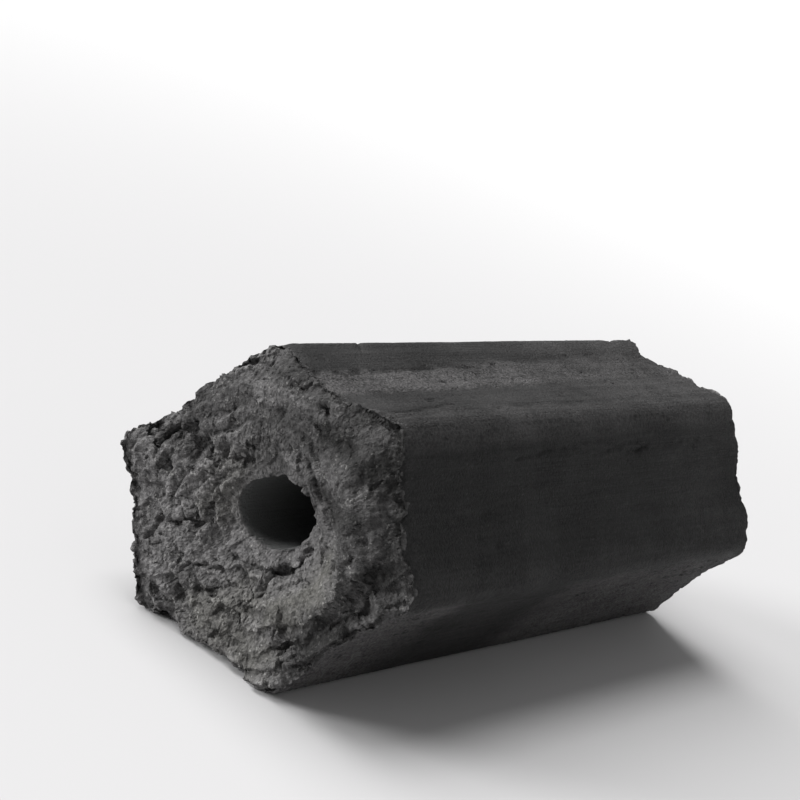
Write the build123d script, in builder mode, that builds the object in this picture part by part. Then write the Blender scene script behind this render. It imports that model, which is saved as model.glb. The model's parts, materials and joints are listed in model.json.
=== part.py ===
from build123d import *
import os
from math import cos, exp, pi, sin, tan

# One barbecue charcoal stick: sawdust pressed through a hexagonal die around a round mandrel,
# charred whole, then snapped off at both ends. It is a single solid, X along the stick, lying
# on one of its six sides at Z = 0. Millimetres.

# Section
side_count = 6
across_corners = 50.0      # over two opposite ribs, measured where the sides would meet
corner_radius = 3.0        # worn rounding of each rib
rib_land = 2.6             # flat strip left on each side of a rib
hollow_depth = 0.6         # how far the middle of each side sinks below its two lands
bore_diameter = 10.5       # air hole left by the mandrel
bore_drift_y = 0.4         # how far the mandrel wandered off the middle of the section
bore_drift_z = 0.7

# Length
mean_length = 103.4        # from the mean plane of one break to the mean plane of the other
centre_shift = 0.3         # moves the mean planes so that the outermost points are centred on X = 0

# Front break, at -X. Every height is how far the break stands out of its mean plane.
front_lean_y = 2.4         # rise at one bare radius towards +Y
front_lean_z = -2.2        # rise at one bare radius towards +Z
front_saddle = 0.8         # rise towards both Y sides, fall towards +Z and -Z
front_twist = -1.5         # rise of two opposite quarters, fall of the other two
front_dish_depth = 4.2     # crater around the mouth of the bore
front_dish_radius = 9.0

# Rear break, at +X
rear_lean_y = 0.0
rear_lean_z = -3.2
rear_saddle = 0.0
rear_twist = 0.9
rear_dish_depth = 2.0
rear_dish_radius = 8.0

# How finely a break's formula is sampled for its spline surface, and how far past the section
# that surface and the uncut bar reach.
break_steps = 16
break_margin = 4.0
cut_depth = 30.0

bare_radius = across_corners / 2
apothem = bare_radius * cos(pi / side_count)
side_width = 2 * bare_radius * sin(pi / side_count)
round_run = corner_radius * tan(pi / side_count)
hollow_width = side_width - 2 * (round_run + rib_land)
hollow_radius = (hollow_width**2 / 4 + hollow_depth**2) / (2 * hollow_depth)
front_x = centre_shift - mean_length / 2
rear_x = centre_shift + mean_length / 2


def break_height(y, z, lean_y, lean_z, saddle, twist, dish_depth, dish_radius):
    """How far a break stands out of its mean plane at a place in the section."""
    across = y / bare_radius
    up = z / bare_radius
    lean = lean_y * across + lean_z * up
    warp = saddle * (across**2 - up**2) + 2 * twist * across * up
    bore_y = y - bore_drift_y
    bore_z = z - bore_drift_z
    dish = dish_depth * exp(-(bore_y**2 + bore_z**2) / dish_radius**2)
    return lean + warp - dish


def break_surface(mean_x, outward, *shape):
    """A spline sheet wider than the section, standing out by the break's own height."""
    reach = bare_radius + break_margin
    steps = [2 * reach * step / break_steps - reach for step in range(break_steps + 1)]
    rows = []
    for y in steps:
        rows.append([Vector(mean_x + outward * break_height(y, z, *shape), y, apothem + z) for z in steps])
    return Face.make_surface_from_array_of_points(rows, tol=0.01)


front_break = break_surface(
    front_x, -1,
    front_lean_y, front_lean_z, front_saddle, front_twist, front_dish_depth, front_dish_radius,
)
rear_break = break_surface(
    rear_x, 1,
    rear_lean_y, rear_lean_z, rear_saddle, rear_twist, rear_dish_depth, rear_dish_radius,
)

section_plane = Plane(origin=(0, 0, apothem), x_dir=(0, 1, 0), z_dir=(1, 0, 0))
bare_half_length = mean_length / 2 + cut_depth / 2

with BuildPart() as charcoal_stick:
    # The die's hexagon, with worn ribs and a shallow hollow along each side
    with BuildSketch(section_plane):
        hexagon = RegularPolygon(bare_radius, side_count)
        fillet(hexagon.vertices(), corner_radius)
        side_middles = PolarLocations(
            apothem + hollow_radius - hollow_depth, side_count, start_angle=180 / side_count
        )
        with side_middles:
            Circle(hollow_radius, mode=Mode.SUBTRACT)
        with Locations((bore_drift_y, bore_drift_z)):
            Circle(bore_diameter / 2, mode=Mode.SUBTRACT)
    extrude(amount=bare_half_length, both=True)

    # Both ends snapped off
    extrude(front_break, amount=cut_depth, dir=(-1, 0, 0), mode=Mode.SUBTRACT)
    extrude(rear_break, amount=cut_depth, dir=(1, 0, 0), mode=Mode.SUBTRACT)

charcoal_stick.part.label = "charcoal_stick"

os.makedirs("parts", exist_ok=True)
export_step(charcoal_stick.part, "parts/charcoal_stick.step")
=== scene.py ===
"""The looks of one pressed charcoal stick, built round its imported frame.

The frame gives the stick's plain solid. A fine shell is laid over it, the larger chips, clefts and
seams are pressed into that shell, and a Geometry Nodes tree adds the grain of the two breaks and the
drawn skin of the six sides. Heights, widths and places on the stick are in millimetres.
"""

import json
import logging
import math
from dataclasses import dataclass, field, fields
from enum import Enum
from typing import Any, Optional, Sequence, Union

import bpy
import numpy as np
from mathutils import Matrix, Vector
from mathutils.bvhtree import BVHTree


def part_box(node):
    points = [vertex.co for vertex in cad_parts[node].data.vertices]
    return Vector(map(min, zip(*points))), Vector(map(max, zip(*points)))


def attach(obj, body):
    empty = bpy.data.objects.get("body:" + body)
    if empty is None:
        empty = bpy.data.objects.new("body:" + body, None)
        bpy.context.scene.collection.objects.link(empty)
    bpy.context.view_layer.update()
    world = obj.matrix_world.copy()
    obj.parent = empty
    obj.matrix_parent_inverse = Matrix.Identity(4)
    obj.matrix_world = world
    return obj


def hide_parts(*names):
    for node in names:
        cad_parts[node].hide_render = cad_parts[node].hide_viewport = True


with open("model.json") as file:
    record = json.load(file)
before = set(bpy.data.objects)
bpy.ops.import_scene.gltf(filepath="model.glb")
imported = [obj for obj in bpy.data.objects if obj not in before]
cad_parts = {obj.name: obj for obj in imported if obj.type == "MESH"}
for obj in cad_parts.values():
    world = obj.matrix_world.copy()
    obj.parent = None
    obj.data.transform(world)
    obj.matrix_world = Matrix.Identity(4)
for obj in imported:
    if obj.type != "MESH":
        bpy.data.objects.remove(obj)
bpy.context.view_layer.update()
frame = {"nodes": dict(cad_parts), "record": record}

log = logging.getLogger("charcoal_stick")

NODE = "charcoal_stick"
HOLE = "air_hole"
BODY = "root"
MM = 0.001
MOST_FACES = 197_000
SEED_STEPS = (37.0, 11.0)  # how far one step of the seed moves the grain, along and across the stick

Colour = tuple[float, float, float]
Place = tuple[float, float]


class Mask(Enum):
    """The numbers that every point of the shell carries for the relief and the finish."""

    BROKEN = "broken"
    HOLE = "hole"
    CALM = "calm"
    # painted shade: the darker zones of the front break
    SOOT = "soot"
    PALE = "pale"
    # wear, and painted light that lifts some sides
    WORN = "worn"
    RIM = "rim"
    RELIEF = "relief"


def smooth_step(low: float, high: float, value: np.ndarray) -> np.ndarray:
    """Rises smoothly from 0 at low to 1 at high.

    Args:
        low: Where the rise starts.
        high: Where it ends; below low it falls instead.
        value: The numbers to map.

    Returns:
        The mapped numbers.
    """
    share = np.clip((value - low) / (high - low), 0.0, 1.0)
    return share * share * (3.0 - 2.0 * share)


def distance_to_path(path: Sequence[Place], across: np.ndarray, up: np.ndarray) -> np.ndarray:
    """Distance from each place to a path of straight runs.

    Args:
        path: The corners of the path.
        across: First coordinate of each place.
        up: Second coordinate of each place.

    Returns:
        The shortest distance to any run.
    """
    nearest = np.full(np.shape(across), np.inf)
    for (x0, y0), (x1, y1) in zip(path, path[1:]):
        run_x = x1 - x0
        run_y = y1 - y0
        along = ((across - x0) * run_x + (up - y0) * run_y) / (run_x**2 + run_y**2)
        along = np.clip(along, 0.0, 1.0)
        gap = np.hypot(across - x0 - along * run_x, up - y0 - along * run_y)
        nearest = np.minimum(nearest, gap)
    return nearest


def bell(gap: np.ndarray, reach: float) -> np.ndarray:
    """1 where the gap is 0, falling smoothly to almost 0 at twice the reach."""
    return np.exp(-((gap / reach) ** 2))


def linked(name: str, data: Any) -> bpy.types.Object:
    """A new object with that data, in the scene.

    Args:
        name: The object's name.
        data: Its mesh, light or camera.

    Returns:
        The object.
    """
    made = bpy.data.objects.new(name, data)
    bpy.context.scene.collection.objects.link(made)
    return made


def rgba(colour: Colour) -> tuple[float, float, float, float]:
    """A colour with full alpha."""
    return (*colour, 1.0)


class Ripple:
    """Smooth wandering from a few seeded sine waves, for edges and seams that are never straight."""

    def __init__(self, seed: int, wavelength: float, waves: int = 7) -> None:
        """Draws the waves.

        Args:
            seed: Fixes the draw.
            wavelength: Length of the longest wave.
            waves: How many waves are summed.
        """
        draw = np.random.default_rng(seed)
        octave = np.linspace(0.0, 2.2, waves)
        turn = draw.uniform(0.0, math.tau, waves)
        self.strength = 0.75**octave / waves**0.5
        self.phase = draw.uniform(0.0, math.tau, waves)
        self.along_x = np.cos(turn) * math.tau * 2.0**octave / wavelength
        self.along_y = np.sin(turn) * math.tau * 2.0**octave / wavelength

    def at(self, x: np.ndarray, y: Union[np.ndarray, float] = 0.0) -> np.ndarray:
        """The height of the waves, mostly between -1 and 1.

        Args:
            x: First coordinate.
            y: Second coordinate.

        Returns:
            The summed waves.
        """
        total = np.zeros(np.broadcast(x, y).shape)
        for strength, phase, wave_x, wave_y in zip(self.strength, self.phase, self.along_x, self.along_y):
            total += strength * np.sin(phase + wave_x * x + wave_y * y)
        return total


@dataclass(frozen=True)
class Swell:
    """A round rise on a break, or a hollow where its rise is negative."""

    y: float
    z: float
    rise: float
    reach: float

    def height(self, y: np.ndarray, z: np.ndarray) -> np.ndarray:
        """How far the break stands out here because of this swell."""
        gap = (y - self.y) ** 2 + (z - self.z) ** 2
        return self.rise * np.exp(-gap / self.reach**2)


@dataclass(frozen=True)
class Smear:
    """A soft band along a path on a break: a rise, a hollow, or where the finish changes."""

    path: tuple[Place, ...]
    amount: float
    reach: float
    sway_length: float = 8.0

    def height(self, y: np.ndarray, z: np.ndarray) -> np.ndarray:
        """How strong the band is.

        Args:
            y: Places in the section, from the hole's middle.
            z: Places in the section, from the hole's middle.

        Returns:
            The strength, or the height of the band.
        """
        sway = Ripple(int(10 * self.reach), self.sway_length)
        gap = distance_to_path(self.path, y + sway.at(y, z), z + sway.at(z, y))
        return self.amount * bell(gap, self.reach)


@dataclass(frozen=True)
class Cleft:
    """A crack or a valley along a path on a break."""

    path: tuple[Place, ...]
    depth: float
    width: float
    wander: float = 0.5
    sway_length: float = 5.0

    def height(self, y: np.ndarray, z: np.ndarray) -> np.ndarray:
        """How far the break stands out because of this cleft.

        Args:
            y: Places in the section, from the hole's middle.
            z: Places in the section, from the hole's middle.

        Returns:
            The height, which is never above zero.
        """
        sway = Ripple(int(100 * abs(self.depth + self.path[0][0])), self.sway_length)
        gap = distance_to_path(self.path, y + self.wander * sway.at(y, z), z + self.wander * sway.at(z, y))
        return -self.depth * bell(gap, self.width)


@dataclass(frozen=True)
class Crest:
    """A curved crest round the hole: a slope climbs to it from inside, and it drops away outside."""

    radius: float
    start: float
    end: float
    rise: float
    drop: float
    run: float
    climb_run: float = 6.0
    fade: float = 30.0
    wander: float = 0.8
    sway_length: float = 9.0

    def height(self, y: np.ndarray, z: np.ndarray) -> np.ndarray:
        """How far the break stands out because of this crest.

        Args:
            y: Places in the section, from the hole's middle.
            z: Places in the section, from the hole's middle.

        Returns:
            The height, which stays below zero outside the crest.
        """
        angle = np.degrees(np.arctan2(z, y)) % 360.0
        sway = Ripple(int(self.radius * 10), self.sway_length)
        radius = np.hypot(y, z) + self.wander * sway.at(y, z)
        starting = smooth_step(self.start, self.start + self.fade, angle)
        ending = smooth_step(self.end, self.end - self.fade, angle)
        climb = smooth_step(self.radius - self.climb_run, self.radius, radius)
        fall = smooth_step(self.radius, self.radius + self.run, radius)
        return starting * ending * (self.rise * climb - (self.rise + self.drop) * fall)


@dataclass(frozen=True)
class Seam:
    """A line along one side of the stick: a crease, a crack or the edge of a drawn band."""

    side: int
    path: tuple[Place, ...]
    depth: float
    width: float
    seed: int
    wander: float = 0.35
    sway_length: float = 14.0
    gap_length: float = 9.0
    gap_seed: int = 50

    def depth_at(self, along: np.ndarray, across: np.ndarray) -> np.ndarray:
        """How deep this seam is at places on its own side.

        Args:
            along: Distance along the stick, from its middle.
            across: Distance across the side, from its middle.

        Returns:
            The depth below the skin, with gaps where the seam closes.
        """
        sway = Ripple(self.seed, self.sway_length)
        gaps = Ripple(self.seed + self.gap_seed, self.gap_length)
        away = distance_to_path(self.path, along, across + self.wander * sway.at(along))
        kept = smooth_step(-0.5, 0.3, gaps.at(along, across))
        return self.depth * kept * bell(away, self.width)


@dataclass(frozen=True)
class Dent:
    """A chip or pit in the skin, longer along the stick than across it where its length says so."""

    side: int
    along: float
    across: float
    depth: float
    length: float
    width: float

    def depth_at(self, along: np.ndarray, across: np.ndarray) -> np.ndarray:
        """How deep this dent is at places on its own side."""
        gap = ((along - self.along) / self.length) ** 2 + ((across - self.across) / self.width) ** 2
        return self.depth * np.exp(-gap)


@dataclass(frozen=True)
class WearAndLight:
    """A paler, rougher band on one side, fading out past its ends and its edges; its paler tone is partly
    wear and partly painted light.
    """

    side: int
    along: Place
    across: Place
    amount: float
    fade_along: float = 8.0
    fade_across: float = 1.6
    wander: float = 0.45
    sway_length: float = 11.0

    @staticmethod
    def within(span: Place, fade: float, place: np.ndarray) -> np.ndarray:
        """1 inside a span, fading to 0 past its two ends."""
        start, end = span
        return smooth_step(start - fade, start, place) * smooth_step(end + fade, end, place)

    def amount_at(self, along: np.ndarray, across: np.ndarray) -> np.ndarray:
        """How worn the skin is at places on the band's own side, and how much painted light lifts it.

        Args:
            along: Distance along the stick, from its middle.
            across: Distance across the side, from its middle.

        Returns:
            The wear and painted light, from 0 to the band's amount.
        """
        sway = Ripple(self.side + int(abs(self.across[0]) * 7), self.sway_length)
        across = across + self.wander * sway.at(along, across)
        lengthwise = self.within(self.along, self.fade_along, along)
        crosswise = self.within(self.across, self.fade_across, across)
        return self.amount * lengthwise * crosswise


@dataclass
class Section:
    """The hexagon of the stick as the frame holds it, with the hole through it."""

    apothem: float
    middle_z: float
    hole_y: float
    hole_z: float
    hole_radius: float
    sides: int = 6

    @classmethod
    def from_frame(cls) -> "Section":
        """Reads the section from the frame's box and its hole.

        Returns:
            The section, in millimetres.
        """
        low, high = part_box(NODE)
        apothem = (high.z - low.z) / 2 / MM
        middle_z = (high.z + low.z) / 2 / MM
        hole = next(mount for mount in frame["record"]["mounts"] if mount["name"] == HOLE)
        place = [value / MM for value in hole["pos_m"]]
        return cls(apothem, middle_z, place[1], place[2] - middle_z, hole["dims"]["r_mm"])

    @property
    def bare_radius(self) -> float:
        """Distance from the middle to a corner, before rounding."""
        return self.apothem / math.cos(math.pi / self.sides)

    def side_normal(self, side: int) -> tuple[float, float]:
        """The outward direction of a side; side 0 is the top and they count anticlockwise."""
        angle = math.pi / 2 + side * math.tau / self.sides
        return math.cos(angle), math.sin(angle)


@dataclass
class Shell:
    """A fine closed shell over the frame's solid: break, skin, break and hole wall in one sheet.

    The shell is a grid of columns round the stick and rows that run out over the front break, along
    the skin, in over the rear break and back through the hole.
    """

    section: Section
    columns: int = 660
    break_rows: int = 78
    skin_rows: int = 300
    hole_rows: int = 44
    rear_crumble: float = 0.35  # how much the rear rim crumbles, against the front rim
    rear_calm: float = 0.9  # how smooth the rear break is beside its rim, and how far in from it
    rear_calm_width: float = 3.0
    rim_on_break: float = 0.9  # how far the rim reaches over the break, and over the skin
    rim_on_skin: float = 1.1
    crowding: float = 0.55  # how much closer together rows are near the ends of the skin and hole
    inset: float = 0.996  # keeps the rays on the solid at its very edge
    hole_clearance: float = 1.01  # the shell's hole against the solid's
    side_fade: Place = (0.80, 0.93)  # where a side ends and its rib begins, as shares of the apothem
    front_marks: tuple[Any, ...] = ()
    rear_marks: tuple[Any, ...] = ()
    skin_marks: tuple[Any, ...] = ()
    calm_spots: tuple[Union[Swell, Smear], ...] = ()
    # painted shade on the front break
    soot_bands: tuple[Smear, ...] = ()
    pale_bands: tuple[Smear, ...] = ()
    # wear bands, partly painted light
    wear: tuple[WearAndLight, ...] = ()
    tree: BVHTree = field(init=False)

    def __post_init__(self) -> None:
        """Makes the search tree of the frame's solid."""
        cad = frame["nodes"][NODE].data
        cad.calc_loop_triangles()
        points = [vertex.co / MM for vertex in cad.vertices]
        faces = [tuple(triangle.vertices) for triangle in cad.loop_triangles]
        self.tree = BVHTree.FromPolygons(points, faces)

    def turns(self) -> np.ndarray:
        """The angle of each column."""
        return np.arange(self.columns) * math.tau / self.columns

    def outline(self) -> tuple[np.ndarray, np.ndarray]:
        """The section's outline, one point for each column, from the frame's solid.

        Returns:
            The y and z of each point, from the section's middle.
        """
        far = 3 * self.section.bare_radius
        middle = Vector((0.0, 0.0, self.section.middle_z))
        turns = self.turns()
        reach = np.zeros(self.columns)
        for index, turn in enumerate(turns):
            inward = Vector((0.0, -math.cos(turn), -math.sin(turn)))
            hit = self.tree.ray_cast(middle - far * inward, inward)[0]
            reach[index] = (hit - middle).length
        return reach * np.cos(turns), reach * np.sin(turns)

    def break_x(self, y: np.ndarray, z: np.ndarray, outward: int) -> np.ndarray:
        """Where a break of the frame's solid stands.

        Args:
            y: Places in the section.
            z: Places in the section, from its middle.
            outward: -1 for the front break, 1 for the rear one.

        Returns:
            The x of the break at each place.
        """
        low, high = (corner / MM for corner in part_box(NODE))
        far = max(abs(low.x), abs(high.x)) * 2
        inward = Vector((-outward, 0.0, 0.0))
        found = np.zeros(y.shape)
        for index in np.ndindex(y.shape):
            up = self.section.middle_z + z[index] * self.inset
            start = Vector((outward * far, y[index] * self.inset, up))
            found[index] = self.tree.ray_cast(start, inward)[0].x
        return found

    def sheet(self, outward: int, out_y: np.ndarray, out_z: np.ndarray) -> tuple[np.ndarray, ...]:
        """One break, from the hole's wall out to the skin.

        Args:
            outward: -1 for the front break, 1 for the rear one.
            out_y: The outline's y.
            out_z: The outline's z.

        Returns:
            x, y and z of each row and column.
        """
        section = self.section
        in_y = section.hole_y + self.hole_clearance * section.hole_radius * np.cos(self.turns())
        in_z = section.hole_z + self.hole_clearance * section.hole_radius * np.sin(self.turns())
        share = np.linspace(0.0, 1.0, self.break_rows)[:, None]
        y = in_y + share * (out_y - in_y)
        z = in_z + share * (out_z - in_z)
        x = self.break_x(y, z, outward)
        for mark in self.front_marks if outward < 0 else self.rear_marks:
            x = x + outward * mark.height(y - section.hole_y, z - section.hole_z)
        return x, y, z

    def graded(self, rows: int) -> np.ndarray:
        """Shares from 0 to 1 that are closer together near both ends.

        Args:
            rows: How many shares, with both ends.

        Returns:
            The shares between the two ends, one to a row.
        """
        even = np.linspace(0.0, 1.0, rows)
        eased = 0.5 - 0.5 * np.cos(math.pi * even)
        return ((1.0 - self.crowding) * even + self.crowding * eased)[1:-1, None]

    def on_side(self, side: int, y: np.ndarray, z: np.ndarray) -> tuple[np.ndarray, np.ndarray]:
        """Reads places in the section from one side.

        Args:
            side: The side.
            y: Places in the section.
            z: Places in the section, from its middle.

        Returns:
            The distance across the side from its middle, and 1 on the side fading to 0 past its ribs.
        """
        normal_y, normal_z = self.section.side_normal(side)
        facing = y * normal_y + z * normal_z
        own = smooth_step(*self.side_fade, facing / self.section.apothem)
        return z * normal_y - y * normal_z, own

    def press_skin(self, x: np.ndarray, y: np.ndarray, z: np.ndarray) -> tuple[np.ndarray, np.ndarray]:
        """Presses the seams and dents into the sides.

        Args:
            x: Rows and columns along the stick.
            y: Their places in the section.
            z: Their places in the section, from its middle.

        Returns:
            The new y and z.
        """
        depth = np.zeros(x.shape)
        for mark in self.skin_marks:
            across, own = self.on_side(mark.side, y, z)
            depth = depth + own * mark.depth_at(x, across)
        radius = np.hypot(y, z)
        return y * (1 - depth / radius), z * (1 - depth / radius)

    def build(self) -> bpy.types.Object:
        """Lays the shell.

        Returns:
            The shell's object, with its masks, in metres.
        """
        outline = self.outline()
        front = self.sheet(-1, *outline)
        rear = self.sheet(1, *outline)

        skin_x = front[0][-1] + self.graded(self.skin_rows) * (rear[0][-1] - front[0][-1])
        skin = (skin_x, *self.press_skin(skin_x, *(np.broadcast_to(line, skin_x.shape) for line in outline)))
        wall_x = rear[0][0] + self.graded(self.hole_rows) * (front[0][0] - rear[0][0])
        wall = (wall_x, *(np.broadcast_to(line[0], wall_x.shape) for line in front[1:]))

        back = slice(None, None, -1)
        x, y, z = (
            np.concatenate([near, drawn, far[back], bore])
            for near, drawn, far, bore in zip(front, skin, rear, wall)
        )
        on_front = slice(0, self.break_rows)
        on_skin = slice(on_front.stop, on_front.stop + len(skin_x))
        on_rear = slice(on_skin.stop, on_skin.stop + self.break_rows)

        broken, hole, rim = (np.zeros(x.shape) for _ in range(3))
        broken[on_front] = broken[on_rear] = 1.0
        hole[on_rear.stop :] = 1.0

        front_edge, rear_edge = (np.hypot(end[1] - outline[0], end[2] - outline[1]) for end in (front, rear))
        rim[on_front] = bell(front_edge, self.rim_on_break)
        rim[on_rear] = self.rear_crumble * bell(rear_edge[back], self.rim_on_break)
        from_front = bell(skin_x - front[0][-1], self.rim_on_skin)
        from_rear = self.rear_crumble * bell(rear[0][-1] - skin_x, self.rim_on_skin)
        rim[on_skin] = np.maximum(from_front, from_rear)

        calm = self.spotted(self.calm_spots, x, y, z) * broken
        calm[on_rear] = self.rear_calm * bell(rear_edge[back], self.rear_calm_width)
        bare = np.clip(broken + rim, 0.0, 1.0)
        masks = {
            Mask.BROKEN: broken,
            Mask.HOLE: hole,
            Mask.RIM: rim,
            Mask.CALM: calm,
            Mask.SOOT: self.spotted(self.soot_bands, x, y, z) * bare,
            Mask.PALE: self.spotted(self.pale_bands, x, y, z) * bare,
            Mask.WORN: self.worn(x, y, z) * (1 - broken) * (1 - hole),
        }
        mesh = self.mesh(x, y, z + self.section.middle_z)
        for mask, values in masks.items():
            attribute = mesh.attributes.new(mask.value, "FLOAT", "POINT")
            attribute.data.foreach_set("value", values.astype(np.float32).ravel())
        return linked("shell", mesh)

    def worn(self, x: np.ndarray, y: np.ndarray, z: np.ndarray) -> np.ndarray:
        """How worn the skin is at each place, and how much painted light lifts it.

        Args:
            x: Places along the stick.
            y: Their places in the section.
            z: Their places in the section, from its middle.

        Returns:
            The strongest wear and painted light of any band there.
        """
        most = np.zeros(x.shape)
        for band in self.wear:
            across, own = self.on_side(band.side, y, z)
            most = np.maximum(most, own * band.amount_at(x, across))
        return most

    def spotted(
        self, spots: Sequence[Union[Swell, Smear]], x: np.ndarray, y: np.ndarray, z: np.ndarray
    ) -> np.ndarray:
        """How much of the front break's spots lies at each place.

        Args:
            spots: The spots, placed from the hole's middle.
            x: Places along the stick.
            y: Their places in the section.
            z: Their places in the section, from its middle.

        Returns:
            The strongest spot there, from 0 to 1, and 0 on the rear half.
        """
        most = np.zeros(x.shape)
        for spot in spots:
            most = np.maximum(most, spot.height(y - self.section.hole_y, z - self.section.hole_z))
        return np.where(x < 0, np.clip(most, 0.0, 1.0), 0.0)

    def mesh(self, x: np.ndarray, y: np.ndarray, z: np.ndarray) -> bpy.types.Mesh:
        """Joins the rows and columns into one closed mesh.

        Args:
            x: Rows and columns along the stick, in millimetres.
            y: Their y.
            z: Their z, from the floor.

        Returns:
            The mesh, of four-sided faces that look outwards, in metres.
        """
        rows = len(x)
        row, column = np.meshgrid(np.arange(rows), np.arange(self.columns), indexing="ij")
        next_row = (row + 1) % rows
        next_column = (column + 1) % self.columns
        corners = [(row, column), (row, next_column), (next_row, next_column), (next_row, column)]
        quads = np.stack([r * self.columns + c for r, c in corners], axis=-1).reshape(-1, 4)
        points = np.stack([x, y, z], axis=-1).reshape(-1, 3) * MM

        mesh = bpy.data.meshes.new("shell")
        mesh.vertices.add(len(points))
        mesh.vertices.foreach_set("co", points.astype(np.float32).ravel())
        mesh.loops.add(quads.size)
        mesh.loops.foreach_set("vertex_index", quads.astype(np.int32).ravel())
        mesh.polygons.add(len(quads))
        mesh.polygons.foreach_set("loop_start", np.arange(0, quads.size, 4, dtype=np.int32))
        mesh.update(calc_edges=True)
        mesh.validate()
        if signed_volume(points, quads) < 0:
            mesh.flip_normals()
        return mesh


def signed_volume(points: np.ndarray, quads: np.ndarray) -> float:
    """The volume inside the faces, below zero where they face inwards.

    Args:
        points: The corners' places.
        quads: Four point numbers for each face.

    Returns:
        The volume, in cubic metres.
    """
    total = 0.0
    for first, second, third in ((0, 1, 2), (0, 2, 3)):
        a = points[quads[:, first]]
        b = points[quads[:, second]]
        c = points[quads[:, third]]
        total += float(np.einsum("ij,ij->i", a, np.cross(b, c)).sum()) / 6
    return total


class Value:
    """A number or a vector on a node's socket, so that node maths reads as an expression."""

    def __init__(self, graph: "Graph", socket: bpy.types.NodeSocket) -> None:
        """Wraps a socket of a graph."""
        self.graph = graph
        self.socket = socket

    def __add__(self, other: "Term") -> "Value":
        """The sum."""
        return self.graph.maths("ADD", self, other)

    def __sub__(self, other: "Term") -> "Value":
        """The difference."""
        return self.graph.maths("SUBTRACT", self, other)

    def __mul__(self, other: "Term") -> "Value":
        """The product."""
        return self.graph.maths("MULTIPLY", self, other)

    def __truediv__(self, other: "Term") -> "Value":
        """The quotient."""
        return self.graph.maths("DIVIDE", self, other)

    def __radd__(self, other: "Term") -> "Value":
        """The sum, with this second."""
        return self.graph.maths("ADD", other, self)

    def __rsub__(self, other: "Term") -> "Value":
        """The difference, with this second."""
        return self.graph.maths("SUBTRACT", other, self)

    def __rmul__(self, other: "Term") -> "Value":
        """The product, with this second."""
        return self.graph.maths("MULTIPLY", other, self)

    def __rtruediv__(self, other: "Term") -> "Value":
        """The quotient, with this below."""
        return self.graph.maths("DIVIDE", other, self)

    def __abs__(self) -> "Value":
        """The size, without the sign."""
        return self.graph.maths("ABSOLUTE", self)

    def step(self, low: float, high: float) -> "Value":
        """Rises smoothly from 0 at low to 1 at high, or falls where high is below low.

        Args:
            low: Where the answer is 0.
            high: Where it is 1.

        Returns:
            The answer.
        """
        inputs = {"Value": self, "From Min": min(low, high), "From Max": max(low, high)}
        settings = {"interpolation_type": "SMOOTHSTEP"}
        rise = self.graph.out(self.graph.node("ShaderNodeMapRange", settings, inputs))
        return rise if low < high else 1.0 - rise

    def fraction(self) -> "Value":
        """What is left over the last whole number."""
        return self.graph.maths("FRACT", self)

    def most(self, other: "Term") -> "Value":
        """The larger of the two."""
        return self.graph.maths("MAXIMUM", self, other)


Term = Union[Value, float]


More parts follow.
